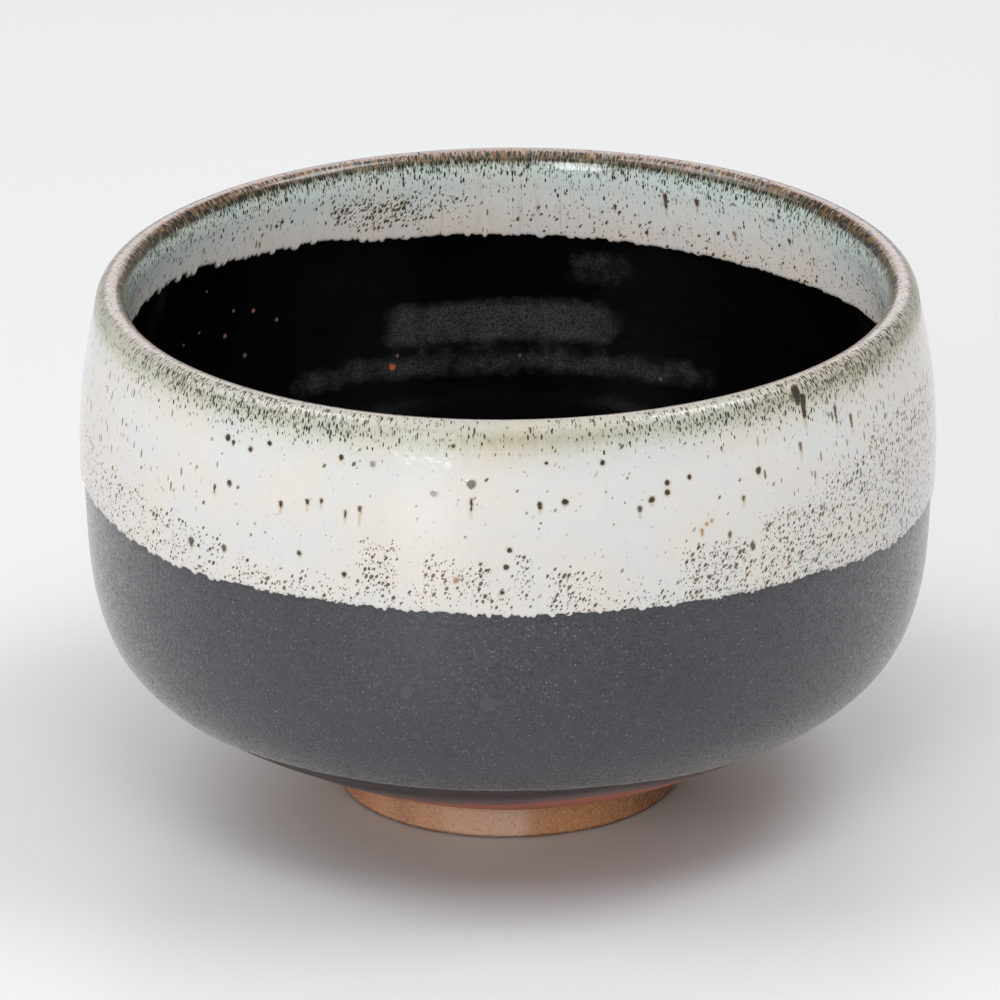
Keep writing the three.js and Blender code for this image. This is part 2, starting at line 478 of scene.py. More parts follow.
def clay_wall():
    """Thrown clay between the coats, with turning marks under the floor."""
    angle = azimuths(SEGMENTS_CLAY)
    recess = np.linspace(POLE_GAP, UNDERSIDE, 60)
    low = FOOT_TOP + 0.06 * np.sin(recess * 2.4) * (recess < 16)
    s = np.r_[np.linspace(ARC[-1], 0.0, 80), np.linspace(-1.0, ARC[0] + POLE_GAP, 56)]
    r, z = on_outline(s, -BASE_COAT - GAP)
    r, z = np.r_[recess, r], np.r_[low, z]
    shape = (len(r), SEGMENTS_CLAY)
    r, z = np.broadcast_to(r[:, None], shape), np.broadcast_to(z[:, None], shape)
    return turned("clay_wall", r, z, angle, poles=(FOOT_TOP, POOL - BASE_COAT - GAP))


def foot():
    """The bare turned foot, with eased and slightly worn edges."""
    angle = azimuths(SEGMENTS)
    top, inside = FOOT_TOP - GAP, FOOT_RADIUS - FOOT_WALL
    corners = [
        (inside + 0.8, 0.0), (FOOT_RADIUS - 0.45, 0.0), (FOOT_RADIUS - 0.1, 0.15), (FOOT_RADIUS, 0.5),
        (FOOT_RADIUS + 0.15, 2.6), (FOOT_RADIUS + 0.4, 4.1), (FOOT_RADIUS + 1.0, top),
        (inside - 1.0, top), (inside - 0.3, 2.5), (inside, 0.9), (inside + 0.25, 0.25),
    ]
    path = np.array(corners + corners[:1])
    t = np.r_[0, np.cumsum(np.hypot(*np.diff(path, axis=0).T))]
    even = np.linspace(0, t[-1], 72)[:-1]
    r, z = (np.interp(even, t, path[:, k])[:, None] + 0 * angle for k in (0, 1))
    middle = 21
    worn = 0.05 * np.sin(3 * angle + 1) + 0.04 * np.sin(7 * angle + 2) + 0.03 * np.sin(17 * angle)
    r = r + worn * (z < 4) * (r > middle)
    piece = turned("foot", r, z, angle)
    # painted shade: the foot darker on its right side and in a line along its bottom edge, where it meets
    # the floor
    pale, gold, painted_shade = (by_azimuth(angle, table) + 0 * z for table in (FOOT_PALE, FOOT_GOLD, FOOT_PAINTED_SHADE))
    painted_shade = np.maximum(painted_shade, 0.75 * ease(z, 0.75, 0.25) * (r > middle))
    keep_values(piece, "zone", np.stack([pale, gold, painted_shade], -1))
    return piece


# ---------------------------------------------------------------- marks in the glazes

# Iron marks in the white glaze: azimuth, height, radius, length of the dark tail and of the tan
# drip, and tone from 0 (dark iron) through grey to .6 and more (tan)
OUTSIDE_MARKS = [
    (-131, 68, .45, 0, .4, 0), (-130, 67.6, .3, .3, 0, 0), (-127, 67.3, .35, 0, .3, 0),
    (-124, 68.7, .35, 0, 0, 0), (-132.5, 61, .2, .9, .6, 0), (-130, 62, .4, 0, 0, 0),
    (-121.5, 61, .35, .5, .8, 0), (-117.5, 62, .3, .3, 1, 0), (-115.5, 62.4, .25, .3, .8, 0),
    (-136.5, 52, .55, .4, .8, .1), (-130.5, 52.6, .45, .2, .3, .1), (-135, 48.8, .33, 0, .3, .1),
    (-118.5, 54.5, .35, 0, .3, 0), (-113, 68.6, .35, .1, .3, 0), (-108.5, 68.2, .42, 0, 0, .33),
    (-100, 65, .48, 0, 0, .38), (-95, 66.4, .62, .1, 0, .24), (-95, 64.3, .2, 1.5, 1, 0),
    (-86, 63.6, .35, .5, .6, 0), (-110, 62.1, .28, .4, 2, .1), (-112, 61.3, .2, .7, .8, 0),
    (-97.5, 71.4, .3, 0, .3, 0), (-85, 69.1, .25, 0, 0, 0), (-90, 57.4, .35, 0, .2, 0),
    (-90.5, 55, .38, 0, .2, 0), (-91, 51.3, .3, 0, .2, 0), (-112, 52.5, .35, 0, .3, 0),
    (-97, 53, .4, 0, 0, .7), (-77.5, 68.7, .35, 0, .3, 0), (-82.7, 63.8, .45, 0, .5, 0),
    (-71, 63, .45, 0, .6, 0), (-68.7, 65, .38, 0, .3, 0), (-68.8, 63.7, .42, 0, .4, 0),
    (-65.5, 65.3, .35, 0, .2, 0), (-72.7, 62, .35, .2, 1, .1), (-55, 64.2, .45, .2, .4, 0),
    (-57.7, 61, .28, .3, 1, .1), (-62.6, 58.8, .26, .1, 0, .6), (-63.4, 58.5, .22, .2, 0, .6),
    (-64.1, 57.7, .2, .7, .3, .6), (-60, 56.5, .25, .6, .8, .1), (-56.5, 54, .4, .5, 0, .1),
    (-46.9, 73.1, .75, 1.6, 0, 0), (-46.0, 72.0, .6, 2.6, 1.5, 0), (-40, 69, .3, 2, 1, .1),
    (-37, 67, .3, 1.5, 1.2, .1), (-47.5, 66, .3, .8, 1.5, .2),
]
INSIDE_MARKS = [
    (64.5, 69.6, .35, 2, 1.5, .1), (59, 69.6, .4, .6, 1, .1), (52.5, 65.6, .3, .3, .6, .5),
    (41, 67.2, .35, .3, .5, .1), (127, 68, .3, 0, 0, 0), (128, 67.6, .28, 0, 0, 0),
    (85, 66, .2, .3, 0, .1), (73, 67, .22, .5, .4, .1),
]
# Pinholes in the black coat: azimuth, height, radius and tone from pale to orange
PINHOLES = [
    (135.3, 55.9, .16, .3), (131.3, 54.9, .22, .5), (126.9, 52.5, .2, .1), (137.1, 52.5, .24, .4),
    (133.1, 48.5, .24, .1), (142.9, 54.6, .12, 0), (146.8, 53.9, .12, 0), (141.3, 60.5, .1, .2),
    (107.6, 42, .42, 1), (106.8, 43.6, .14, .3), (88, 42.6, .13, 0), (66, 40.6, .15, 0),
    (91, 46, .1, 0), (20, 50, .25, .2), (-140, 48, .25, .3), (-35, 46, .3, .6), (175, 44, .25, .2),
    (-95, 52, .2, .2),
]
# Smooth blisters in the charcoal coat: azimuth, height and radius
BLISTERS = [
    (-103.9, 35.8, .85), (-93.0, 34.6, 1.15), (-102.9, 29.2, .65), (-118, 27.5, .5), (-60, 33, .5),
    (-20, 30, .9), (35, 36, 1.0), (80, 28, .7), (120, 38, 1.1), (165, 31, .6), (-165, 37, .9),
]


def mark_table(marks, outside):
    """Centres, shapes and tones of marks, with tails that point down the glaze."""
    azimuth, height, radius, tail, drip, tone = np.array(marks, float).T
    angle = np.radians(azimuth)
    down = 1.0 if outside else -1.0
    at = np.c_[WRAP * np.cos(angle), WRAP * np.sin(angle), arc_at(height, outside)]
    return at, np.c_[radius, down * tail, down * drip], tone


def nearest_marks(middle, at, form):
    """Index of the mark whose shape lies nearest to each point."""
    best, index = np.full(len(middle), np.inf), np.zeros(len(middle), int)
    for k in range(len(at)):
        delta = middle - at[k]
        ends = np.sort([0, form[k, 1] + form[k, 2]])
        along = delta[:, 2] - np.clip(delta[:, 2], *ends)
        away = delta[:, 0] ** 2 + delta[:, 1] ** 2 + along**2
        far = np.sqrt(away) - form[k, 0]
        near = far < best
        best[near], index[near] = far[near], k
    return index


def place_spots(piece, spots, outside):
    """Writes the place, radius and tone of the nearest spot on each face of a coat."""
    azimuth, height, radius, tone = np.array(spots, float).T
    r, z = on_outline(arc_at(height, outside), 0.0)
    at = settle(r, np.radians(azimuth), z)
    middle = np.array([face.center for face in piece.data.polygons]) / MM
    index = np.argmin(((middle[:, None] - at[None]) ** 2).sum(2), 1)
    keep_values(piece, "mark_at", at[index], "FACE")
    keep_values(piece, "mark_form", np.c_[radius, 0 * radius, tone][index], "FACE")


def place_marks(piece, marks):
    """Writes the place, shape and tone of the nearest mark on each face of the white band."""
    at, form, tone = marks
    mesh = piece.data
    place = np.zeros(len(mesh.vertices) * 3, np.float32)
    mesh.attributes["place"].data.foreach_get("vector", place)
    corner = np.zeros(len(mesh.loops), np.int32)
    mesh.loops.foreach_get("vertex_index", corner)
    middle = place.reshape(-1, 3)[corner.reshape(-1, 4)].mean(1)
    index = nearest_marks(middle, at, form)
    keep_values(piece, "mark_at", at[index], "FACE")
    keep_values(piece, "mark_form", form[index], "FACE")
    keep_values(piece, "mark_tone", np.repeat(tone[index], 3).reshape(-1, 3), "FACE")


# ---------------------------------------------------------------- materials

def srgb(*levels):
    """Linear colour of 0 to 255 display levels of red, green and blue."""
    straight = 10.3  # the display curve is a straight line below this level
    return tuple(
        c / 255 / 12.92 if c < straight else ((c / 255 + 0.055) / 1.055) ** 2.4 for c in levels
    )


class Finish:
    """A node material that ends in one Principled shader. Its methods add nodes, and a value in
    them is a socket or a number."""

    def __init__(self, name, **fixed):
        self.material = bpy.data.materials.new(name)
        self.material.use_nodes = True
        self.tree = self.material.node_tree
        self.shader = self.tree.nodes["Principled BSDF"]
        for label, value in fixed.items():
            self.put(self.shader.inputs[label.replace("_", " ")], value)

    def put(self, socket, value):
        """Links a socket or sets its value; a colour may have three numbers."""
        if isinstance(value, bpy.types.NodeSocket):
            self.tree.links.new(value, socket)
        elif isinstance(value, tuple) and socket.type == "RGBA":
            socket.default_value = (*value, 1.0)
        else:
            socket.default_value = value

    def node(self, kind, inputs, **settings):
        """A new node with its inputs by name or number."""
        made = self.tree.nodes.new("ShaderNode" + kind)
        for label, value in settings.items():
            setattr(made, label, value)
        for label, value in inputs.items():
            self.put(made.inputs[label], value)
        return made

    def kept(self, name):
        """Values that are kept on the mesh under a name."""
        return self.node("Attribute", {}, attribute_name=name).outputs["Vector"]

    def math(self, operation, *values):
        return self.node("Math", dict(enumerate(values)), operation=operation).outputs[0]

    def plus(self, first, second):
        return self.math("ADD", first, second)

    def minus(self, first, second):
        return self.math("SUBTRACT", first, second)

    def times(self, first, second):
        return self.math("MULTIPLY", first, second)

    def scaled(self, value, factor, offset):
        """The value times the factor, plus the offset."""
        return self.math("MULTIPLY_ADD", value, factor, offset)

    def sway(self, value, size):
        """A value from 0 to 1, made to swing about 0."""
        return self.times(self.minus(value, 0.5), size)

    def vector(self, operation, *values, part=0):
        """A vector operation's output, which part gives by number or name."""
        return self.node("VectorMath", dict(enumerate(values)), operation=operation).outputs[part]

    def split(self, value):
        return self.node("SeparateXYZ", {0: value}).outputs

    def stretched(self, where, side, up):
        """Coordinates scaled by one number sideways and by another along the glaze."""
        return self.vector("MULTIPLY", where, (side, side, up))

    def outside_of(self, where, centre, radius):
        """Distance outside a ball."""
        away = self.vector("LENGTH", self.vector("SUBTRACT", where, centre), part="Value")
        return self.minus(away, radius)

    def step(self, value, low, high):
        """Smooth step from 0 at low to 1 at high, or falling when low is above high."""
        inputs = {"Value": value, "From Min": low, "From Max": high}
        return self.node("MapRange", inputs, interpolation_type="SMOOTHSTEP").outputs[0]

    def mix(self, amount, first, second, blend="MIX"):
        inputs = {0: amount, 6: first, 7: second}
        return self.node("Mix", inputs, data_type="RGBA", blend_type=blend).outputs[2]

    def paint(self, body, colour, mask, strength):
        """The body with a colour laid over it, as strongly as given where the mask is 1."""
        return self.mix(self.times(mask, strength), body, colour)

    def noise(self, where, scale, detail=3.0, rough=0.55):
        """Noise from 0 to 1, with its scale in cycles per unit of the coordinates."""
        inputs = {"Vector": where, "Scale": scale, "Detail": detail, "Roughness": rough}
        return self.node("TexNoise", inputs).outputs["Fac"]

    def ramp(self, value, stops):
        """A colour ramp from (position, colour) stops."""
        made = self.node("ValToRGB", {0: value})
        row = made.color_ramp.elements
        for _ in stops[2:]:
            row.new(0.5)
        for element, (position, colour) in zip(row, stops):
            element.position, element.color = position, (*colour, 1.0)
        return made.outputs[0]

    def colours(self, value, stops):
        """A colour ramp from (position, display red, green, blue) stops."""
        return self.ramp(value, [(position, srgb(*levels)) for position, *levels in stops])

    def curve(self, value, stops):
        """A number read off (position, level) stops."""
        return self.ramp(value, [(position, (level, level, level)) for position, level in stops])

    def end(self, colour, roughness, height, depth, strength):
        """Joins colour, roughness and a bump of a depth in millimetres to the shader."""
        bump = self.node("Bump", {"Strength": strength, "Distance": depth * MM, "Height": height})
        self.put(self.shader.inputs["Base Color"], colour)
        self.put(self.shader.inputs["Roughness"], roughness)
        self.put(self.shader.inputs["Normal"], bump.outputs[0])
        return self.material


def mark_distance(f, where, at, radius, tail):
    """Distance outside a mark, which tapers along its tail."""
    delta = f.vector("SUBTRACT", where, at)
    up = f.split(delta)[2]
    wide = f.vector("LENGTH", f.vector("MULTIPLY", delta, (1, 1, 0)), part="Value")
    lowest, highest = f.math("MINIMUM", tail, 0.0), f.math("MAXIMUM", tail, 0.0)
    held = f.math("MINIMUM", f.math("MAXIMUM", up, lowest), highest)
    along = f.minus(up, held)
    away = f.math("SQRT", f.plus(f.times(wide, wide), f.times(along, along)))
    reach = f.plus(f.math("ABSOLUTE", tail), radius)
    slimmer = 0.65  # share of the radius that is gone at the tail's end
    slim = f.times(f.math("DIVIDE", f.math("ABSOLUTE", held), reach), slimmer)
    return f.minus(away, f.times(radius, f.minus(1.0, slim)))


def dots(f, flat, side, up, slant, amount, small, large):
    """One dot in each jittered cell whose random number is below the amount, and another random
    number of that cell. Side and up are cells in a millimetre; small and large are in cells."""
    part = f.split(flat)
    across = f.times(f.scaled(part[1], slant, part[0]), side)
    where = f.node("CombineXYZ", {0: across, 1: f.times(part[1], up)}).outputs[0]
    cell = f.node("TexVoronoi", {"Vector": where, "Scale": 1.0}, voronoi_dimensions="2D").outputs
    pick = f.split(cell["Color"])
    shown = f.step(f.minus(amount, pick[0]), 0.0, 0.06)
    size = f.scaled(f.times(pick[1], pick[1]), large - small, small)
    # dots grow where they crowd, and their outlines wander
    size = f.scaled(f.math("MAXIMUM", f.minus(amount, 0.9), 0.0), 0.4, size)
    away = f.plus(cell["Distance"], f.times(f.noise(flat, 3.5, 1.0), 0.16))
    shape = f.step(f.minus(f.minus(away, 0.08), size), 0.06, -0.06)
    return f.times(shape, shown), pick[2]


RAMP_LENGTH = 16  # the white glaze's ramps run over this many millimetres from the crest
# Colours from the crest down: inside, and outside where the break is plain or yellow
INNER_RAMP = [
    (0.04, 158, 142, 136), (0.07, 114, 92, 70), (0.11, 96, 88, 66), (0.17, 184, 196, 188),
    (0.28, 226, 234, 230), (0.48, 236, 239, 236), (0.68, 238, 232, 226), (0.92, 233, 224, 216),
]
PLAIN_RAMP = [
    (0.03, 172, 169, 161), (0.09, 174, 175, 164), (0.16, 176, 180, 165), (0.24, 194, 197, 186),
    (0.33, 206, 206, 201), (0.55, 212, 212, 208), (0.9, 213, 211, 207),
]
YELLOW_RAMP = [
    (0.03, 170, 165, 153), (0.12, 174, 168, 149), (0.18, 166, 157, 130), (0.25, 188, 182, 162),
    (0.33, 204, 200, 191), (0.5, 212, 210, 206), (0.9, 213, 211, 207),
]
# How thickly the strokes stand from the crest down
FRINGE_OUTSIDE = [
    (0.0, 0.3), (0.03, 0.62), (0.07, 0.88), (0.17, 0.88), (0.24, 0.5), (0.31, 0.2), (0.42, 0.06),
    (0.6, 0),
]
FRINGE_INSIDE = [
    (0.0, 0.0), (0.02, 0.2), (0.045, 1.0), (0.11, 1.0), (0.15, 0.6), (0.22, 0.3), (0.36, 0.1),
    (0.62, 0.02),
]
# Colour of an iron mark by its tone
IRON_RAMP = [(0.0, 12, 9, 6), (0.2, 92, 90, 88), (0.4, 158, 157, 155), (0.6, 158, 126, 92)]


def milky_colours(f, where, s, outside, zone):
    """Mauve crest, olive break and cream, with faint streaks that run down."""
    streak = f.noise(f.stretched(where, 1.6, 0.16), 1.0, 3.0, 0.6)
    fine = f.noise(f.stretched(where, 4.2, 0.8), 1.0, 2.0, 0.6)
    broad = f.noise(f.stretched(where, 0.10, 0.12), 1.0, 3.0, 0.5)
    run = f.plus(f.plus(f.math("ABSOLUTE", s), f.sway(streak, 1.8)), f.sway(fine, 1.2))
    reach = f.times(run, 1 / RAMP_LENGTH)
    outer = f.mix(zone[1], f.colours(reach, PLAIN_RAMP), f.colours(reach, YELLOW_RAMP))
    mauve = f.mix(f.step(fine, 0.35, 0.65), srgb(130, 121, 116), srgb(180, 172, 167))
    outer = f.paint(outer, mauve, f.step(run, 2.2, 0.5), zone[2])
    body = f.mix(outside, f.colours(reach, INNER_RAMP), outer)
    tint = f.mix(f.step(broad, 0.36, 0.66), srgb(253, 249, 246), srgb(247, 250, 252))
    body = f.mix(1.0, body, tint, "MULTIPLY")
    smear = f.scaled(outside, -0.33, 0.55)
    return f.paint(body, srgb(186, 194, 198), f.step(streak, 0.52, 0.78), smear)


def stroke_fringe(f, body, flat, reach, outside, thickness):
    """Dark strokes below the crest, some of them amber; also where the large ones are."""
    inside = f.minus(1.0, outside)
    density = f.mix(outside, f.curve(reach, FRINGE_INSIDE), f.curve(reach, FRINGE_OUTSIDE))
    density = f.times(density, thickness)
    density = f.scaled(inside, f.times(density, 0.5), density)
    large, pick = dots(f, flat, 2.7, 1.15, 0.0, density, 0.2, 0.52)
    small, other = dots(f, flat, 4.8, 1.3, 0.0, f.times(density, 0.9), 0.15, 0.5)
    amber = f.times(f.step(reach, 0.14, 0.07), inside)
    amber = f.math("MAXIMUM", amber, f.times(f.step(reach, 0.12, 0.04), 0.35))
    ink = f.paint(srgb(12, 14, 8), srgb(104, 74, 42), f.step(pick, 0.62, 0.76), amber)
    pale_ink = f.paint(srgb(34, 40, 28), srgb(146, 114, 74), f.step(other, 0.5, 0.65), amber)
    body = f.paint(body, pale_ink, small, 0.75)
    return f.paint(body, ink, large, 0.94), large


def iron_specks(f, body, flat):
    """Patches of fine iron specks with pale brown halos, and long dashes."""
    amount, brownness, dashes = f.split(f.kept("speckle"))
    speck, tone = dots(f, flat, 1.5, 1.1, 0.35, amount, 0.1, 0.4)
    brown = f.times(f.step(tone, 0.35, 0.95), f.plus(brownness, 0.1))
    halo = dots(f, flat, 1.5, 1.1, 0.35, amount, 0.18, 0.54)[0]
    body = f.paint(body, srgb(184, 158, 120), halo, 0.36)
    body = f.paint(body, f.mix(brown, srgb(44, 38, 26), srgb(140, 106, 72)), speck, 0.92)
    tiny, tone = dots(f, flat, 2.6, 1.8, 0.3, f.times(amount, 0.85), 0.12, 0.42)
    body = f.paint(body, f.mix(tone, srgb(46, 42, 30), srgb(132, 108, 80)), tiny, 0.85)
    dash, tone = dots(f, flat, 1.5, 0.42, 0.0, dashes, 0.08, 0.3)
    return f.paint(body, f.mix(tone, srgb(42, 38, 28), srgb(140, 122, 96)), dash, 0.85)


def iron_marks(f, body, where):
    """Single iron marks with tan drips and halos; also the distance outside their cores."""
    at = f.kept("mark_at")
    radius, tail, drip_length = f.split(f.kept("mark_form"))
    ragged = f.sway(f.noise(f.stretched(where, 2.5, 2.5), 1.0, 2.0), 0.45)
    core = f.plus(mark_distance(f, where, at, radius, tail), ragged)
    drip_end = f.plus(tail, drip_length)
    drip = f.plus(mark_distance(f, where, at, f.times(radius, 0.95), drip_end), ragged)
    has_drip = f.step(f.math("ABSOLUTE", drip_length), 0.0, 0.3)
    body = f.paint(body, srgb(176, 146, 104), f.times(f.step(drip, 0.3, -0.35), has_drip), 0.6)
    body = f.paint(body, srgb(190, 164, 130), f.step(core, 0.42, -0.1), 0.42)
    iron = f.colours(f.split(f.kept("mark_tone"))[0], IRON_RAMP)
    iron = f.paint(iron, srgb(104, 84, 62), f.step(f.noise(where, 3.5, 2.0), 0.45, 0.7), 0.25)
    return f.paint(body, iron, f.step(core, 0.12, -0.12), 0.95), core


def white_glaze():
    """Milky glaze: mauve crest, dark stroke fringe, olive break, then cream with iron specks."""
    f = Finish("white_glaze", IOR=1.5, Coat_Weight=0.15, Coat_Roughness=0.05)
    where, flat, zone = f.kept("place"), f.kept("flat"), f.split(f.kept("zone"))
    s = f.split(where)[2]
    reach = f.times(f.math("ABSOLUTE", s), 1 / RAMP_LENGTH)
    outside = f.step(s, -0.15, 0.15)
    body = milky_colours(f, where, s, outside, zone)
    body, strokes = stroke_fringe(f, body, flat, reach, outside, zone[0])
    body = iron_specks(f, body, flat)
    body, core = iron_marks(f, body, where)
    fringe = f.times(f.times(f.step(reach, 0.34, 0.22), f.step(reach, 0.06, 0.12)), outside)
    rough = f.scaled(f.noise(where, 1.3), 0.12, 0.08)
    rough = f.scaled(fringe, 0.28, rough)
    relief = f.scaled(f.step(core, 0.3, -0.2), 0.15, f.noise(where, 0.35, 2.0))
    relief = f.scaled(strokes, -0.05, relief)
    relief = f.scaled(f.noise(f.stretched(where, 0.9, 0.5), 1.0, 2.0), 0.5, relief)
    relief = f.times(relief, f.scaled(outside, 0.7, 0.3))
    return f.end(body, rough, relief, 0.14, 0.6)


CRYSTALS = 3.0  # in a millimetre of charcoal glaze


def charcoal_glaze():
    """Satin charcoal glaze with a fine crystal sparkle and faint round blisters, and painted shade that
    darkens it towards its lower edge.
    """
    f = Finish("charcoal_glaze", IOR=1.55, Coat_Weight=0.4, Coat_Roughness=0.12, Coat_IOR=1.6,
               Sheen_Weight=0.38, Sheen_Roughness=0.36)
    where = f.kept("place")
    cell = f.node("TexVoronoi", {"Vector": where, "Scale": CRYSTALS}).outputs
    pick = f.split(cell["Color"])
    cloud = f.noise(where, 0.08, 3.0)
    grain = f.noise(where, 2.6, 3.0, 0.7)
    body = f.mix(f.step(cloud, 0.3, 0.7), srgb(27, 28, 33), srgb(35, 36, 42))
    body = f.mix(f.step(grain, 0.44, 0.66), body, srgb(50, 51, 61))
    crystal = f.times(f.step(pick[0], 0.88, 0.96), f.step(cell["Distance"], 0.36, 0.12))
    body = f.paint(body, srgb(168, 168, 178), crystal, 0.62)
    away = f.outside_of(where, f.kept("mark_at"), f.split(f.kept("mark_form"))[0])
    blister = f.step(away, 0.12, -0.12)
    around = f.minus(1.0, blister)
    body = f.paint(body, srgb(26, 26, 29), f.times(f.step(away, 0.5, 0.1), around), 0.5)
    body = f.paint(body, srgb(54, 54, 59), blister, 0.9)
    # painted shade: the coat grows darker towards its lower edge, where it faces the shadowed floor under
    # the bowl
    edge = f.split(f.kept("zone"))[0]
    body = f.mix(f.step(edge, 6.0, 0.4), body, srgb(12, 12, 13))
    # some of the crystals are smoother facets, each tilted its own way
    facet = f.times(f.step(pick[2], 0.68, 0.48), around)
    rough = f.scaled(pick[1], 0.14, 0.29)
    rough = f.scaled(facet, -0.14, rough)
    lean = f.vector("SUBTRACT", cell["Color"], (0.5, 0.5, 0.5))
    tilt = f.vector("DOT_PRODUCT", f.vector("SUBTRACT", where, cell["Position"]), lean, part="Value")
    relief = f.times(grain, f.minus(1.0, f.times(blister, 0.8)))
    relief = f.scaled(f.times(tilt, facet), 4.5, relief)
    return f.end(body, rough, relief, 0.15, 0.85)


def black_glaze():
    """Deep black gloss with bands of grainy matt haze carrying a painted grey reflection, and a few
    reddish pinholes.
    """
    f = Finish("black_glaze", Specular_IOR_Level=0.5, IOR=1.5)
    where = f.kept("place")
    band = f.split(f.kept("zone"))[0]
    mottle = f.noise(where, 3.8, 3.0, 0.65)
    patchy = f.noise(where, 0.30, 3.0, 0.7)
    ragged = f.scaled(f.minus(patchy, 0.5), 1.5, band)
    haze_and_reflection = f.times(f.step(ragged, 0.1, 1.35), f.scaled(f.step(mottle, 0.3, 0.7), 0.85, 0.18))
    haze_and_reflection = f.times(haze_and_reflection, f.step(band, 0.0, 0.3))
    cloud = f.noise(where, 0.12, 4.0, 0.6)
    body = f.mix(f.step(cloud, 0.35, 0.75), (0.0014, 0.0012, 0.0013), (0.0025, 0.002, 0.0022))
    # painted reflection: the haze bands are greyed; their higher roughness is the glaze's own matt
    body = f.mix(haze_and_reflection, body, (0.085, 0.085, 0.092))
    form = f.split(f.kept("mark_form"))
    hole = f.outside_of(where, f.kept("mark_at"), form[0])
    rust = f.mix(form[2], srgb(124, 110, 114), srgb(206, 104, 74))
    body = f.mix(f.step(hole, 0.25, -0.15), body, rust)
    rough = f.scaled(f.noise(where, 0.9), 0.10, 0.05)
    rough = f.scaled(haze_and_reflection, 0.4, rough)
    relief = f.scaled(f.noise(where, 2.0, 3.0), 0.12, f.noise(where, 0.25, 2.0))
    return f.end(body, rough, relief, 0.12, 0.4)


def thin_glaze():
    """Thin mauve-brown run that breaks to reddish brown below, with painted shade darkening it towards
    the charcoal coat above.
    """
    f = Finish("thin_glaze", Specular_IOR_Level=0.5)
    where = f.kept("place")
    height = f.split(where)[2]
    cloud = f.noise(where, 0.3, 4.0, 0.6)
    border = f.split(f.kept("zone"))[0]
    level = f.scaled(f.minus(cloud, 0.5), 1.6, f.minus(height, border))
    body = f.mix(f.step(level, -0.5, 0.5), srgb(184, 104, 80), srgb(112, 92, 92))
    # painted shade: darker upwards towards the charcoal coat's lower edge
    body = f.mix(f.step(level, 0.6, 4.4), body, srgb(44, 33, 35))
    body = f.paint(body, srgb(132, 100, 92), f.step(f.noise(where, 1.8, 3.0, 0.7), 0.5, 0.75), 0.3)
    rough = f.scaled(f.noise(where, 1.5), 0.2, 0.40)
    return f.end(body, rough, f.noise(where, 2.0, 4.0, 0.7), 0.15, 0.5)


def bare_clay(name, warm, dark):
    """Bare fired stoneware with grit; on the foot also its pale and golden parts, and painted shade."""
    f = Finish(name, Specular_IOR_Level=0.3)
    where = f.kept("place")
    cloud = f.noise(where, 0.09, 3.0, 0.5)
    grit = f.noise(where, 2.6, 4.0, 0.75)
    pits = f.step(f.noise(where, 1.4, 3.0, 0.7), 0.62, 0.75)
    pale, gold, painted_shade = f.split(f.kept("zone"))
    body = f.mix(f.step(cloud, 0.35, 0.65), warm, dark)
    body = f.mix(pale, body, srgb(240, 198, 172))
    body = f.mix(gold, body, srgb(216, 152, 100))
    # painted shade on the foot's right side and along its bottom edge
    body = f.mix(painted_shade, body, srgb(96, 58, 38))
    body = f.paint(body, srgb(232, 200, 170), f.step(grit, 0.50, 0.62), 0.5)
    body = f.paint(body, srgb(130, 84, 58), f.step(grit, 0.45, 0.35), 0.45)
    body = f.paint(body, srgb(120, 78, 54), pits, 0.5)
    rough = f.plus(0.76, f.times(grit, 0.2))
    return f.end(body, rough, grit, 0.5, 1.0)


# ---------------------------------------------------------------- stage

# Camera, in millimetres and radians where nothing else is said
LENS = 396.0
SENSOR = 36.0
CLIP = (0.1, 20.0)  # in metres
DISTANCE = 1547.6
ELEVATION = math.radians(21.2675)
ROLL = math.radians(0.539)
LOOK_AT = Vector((0, 0, 40))
SHIFT_RIGHT, SHIFT_UP = -1.035, 1.389

# Half the floor's side and the height that the lights face, in metres
FLOOR_HALF = 3.0
AIM_HEIGHT = 0.05
SURROUNDINGS = 0.36  # strength of the white surroundings

# Lights: name, azimuth (0 in front of the bowl, negative to the left) and elevation in degrees,
# distance, width and height in metres, and power in watts
LIGHTS = [
    ("overhead", 0, 88, 1.3, 2.8, 1.8, 12.5),
    ("left_high", -90, 60, 1.3, 0.5, 0.5, 3.0),
    ("right_high", 90, 60, 1.3, 0.5, 0.5, 4.7),
    ("left", -90, 40, 1.6, 0.8, 0.6, 2.8),
    ("back", 180, 25, 1.6, 1.4, 0.6, 3.0),
    ("front_left", -21.5, 18, 3.2, 0.8, 1.6, 34),
]
# Lights that don't show as reflections
HIDDEN_LIGHTS = [
    ("left_low", -45, 12, 3.0, 0.8, 1.0, 6),
    ("right_low", 30, 12, 3.0, 0.8, 1.0, 5),
    ("front_high", 0, 60, 1.3, 0.5, 0.5, 3.0),
]


def make_camera():
    """A long lens at the photograph's angle."""
    back = Vector((0, -math.cos(ELEVATION), math.sin(ELEVATION)))
    up = Vector((0, math.sin(ELEVATION), math.cos(ELEVATION)))
    data = bpy.data.cameras.new("camera")
    data.lens, data.sensor_width = LENS, SENSOR
    data.clip_start, data.clip_end = CLIP
    camera = bpy.data.objects.new("camera", data)
    bpy.context.scene.collection.objects.link(camera)
    place = LOOK_AT + back * DISTANCE + Vector((SHIFT_RIGHT, 0, 0)) + up * SHIFT_UP
    turn = back.to_track_quat("Z", "Y").to_matrix().to_4x4() @ Matrix.Rotation(-ROLL, 4, "Z")
    camera.matrix_world = Matrix.Translation(place * MM) @ turn
    bpy.context.scene.camera = camera


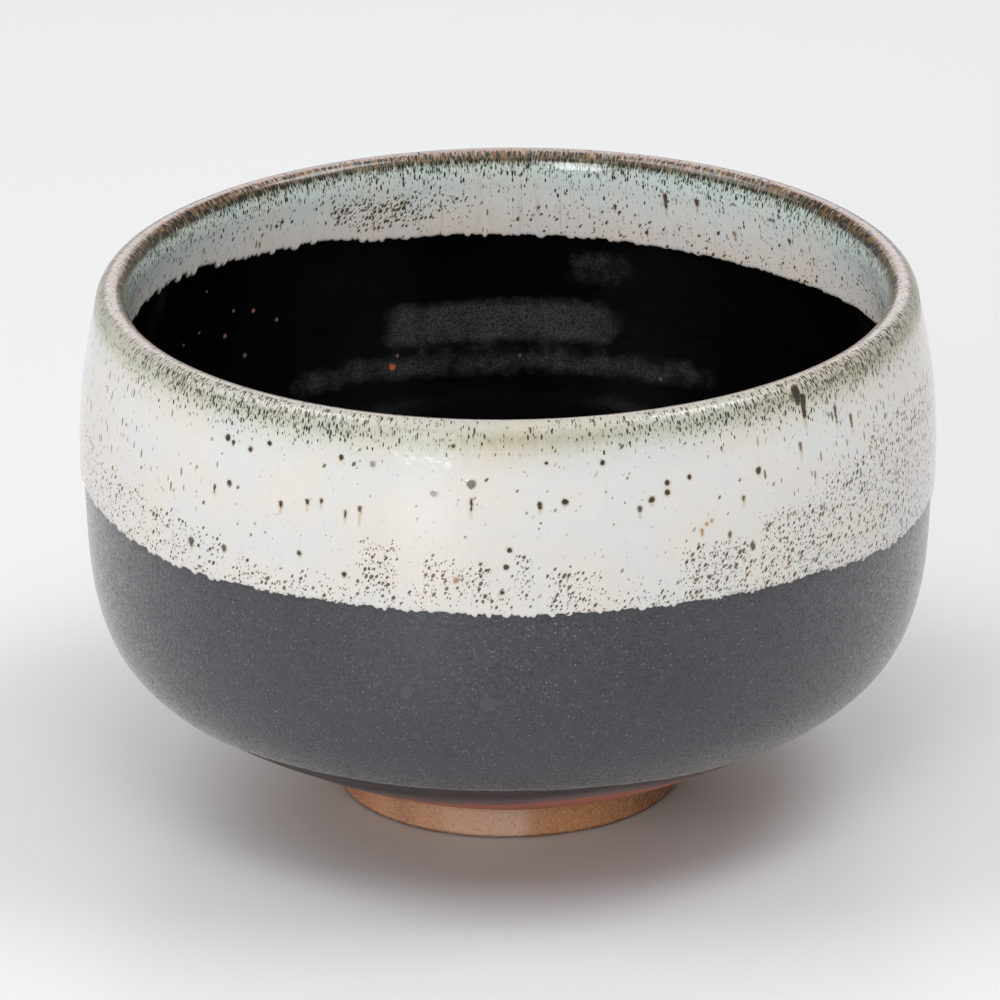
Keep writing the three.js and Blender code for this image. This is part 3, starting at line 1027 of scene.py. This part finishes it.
def softbox(name, azimuth, elevation, distance, width, height, power):
    """An area light that faces the bowl."""
    a, e = math.radians(azimuth), math.radians(elevation)
    place = Vector((math.sin(a) * math.cos(e), -math.cos(a) * math.cos(e), math.sin(e))) * distance
    data = bpy.data.lights.new(name, "AREA")
    data.shape, data.size, data.size_y, data.energy = "RECTANGLE", width, height, power
    light = bpy.data.objects.new(name, data)
    bpy.context.scene.collection.objects.link(light)
    light.location = place + Vector((0, 0, AIM_HEIGHT))
    light.rotation_euler = place.to_track_quat("Z", "Y").to_euler()
    return light


def make_floor():
    """A large pale board under the bowl, faintly glossy."""
    mesh = bpy.data.meshes.new("floor")
    corners = [(-1, -1), (1, -1), (1, 1), (-1, 1)]
    mesh.from_pydata([(x * FLOOR_HALF, y * FLOOR_HALF, 0) for x, y in corners], [], [(0, 1, 2, 3)])
    board = bpy.data.objects.new("floor", mesh)
    bpy.context.scene.collection.objects.link(board)
    f = Finish("floor", Specular_IOR_Level=0.2)
    where = f.node("TexCoord", {}).outputs["Object"]
    cloud = f.noise(where, 3.0, 2.0)
    body = f.mix(cloud, srgb(206, 206, 207), srgb(209, 209, 210))
    rough = f.plus(0.34, f.times(cloud, 0.04))
    board.data.materials.append(f.end(body, rough, cloud, 0.01, 0.1))


def make_lights():
    """Pale surroundings, and soft lights above, behind, beside and in front of the bowl."""
    world = bpy.data.worlds.new("studio")
    world.use_nodes = True
    background = world.node_tree.nodes["Background"].inputs
    background["Color"].default_value = (1, 1, 1, 1)
    background["Strength"].default_value = SURROUNDINGS
    bpy.context.scene.world = world
    for row in LIGHTS:
        softbox(*row)
    for row in HIDDEN_LIGHTS:
        softbox(*row).visible_glossy = False


bpy.context.scene.view_settings.view_transform = "Standard"
make_camera()
make_floor()
make_lights()

band = white_band()
tables = zip(mark_table(OUTSIDE_MARKS, True), mark_table(INSIDE_MARKS, False))
place_marks(band, [np.concatenate(pair) for pair in tables])
finish_piece(band, "white_glaze_band", white_glaze())
finish_piece(charcoal_coat(), "charcoal_glaze", charcoal_glaze())
finish_piece(black_coat(), "black_glaze", black_glaze())
finish_piece(thin_run(), "thin_glaze_run", thin_glaze())
clay = bare_clay("stoneware", srgb(190, 130, 92), srgb(152, 98, 66))
finish_piece(clay_wall(), "clay_body", clay)
foot_clay = bare_clay("foot_clay", srgb(228, 168, 128), srgb(196, 134, 94))
finish_piece(foot(), "foot_ring", foot_clay)

bpy.context.view_layer.update()
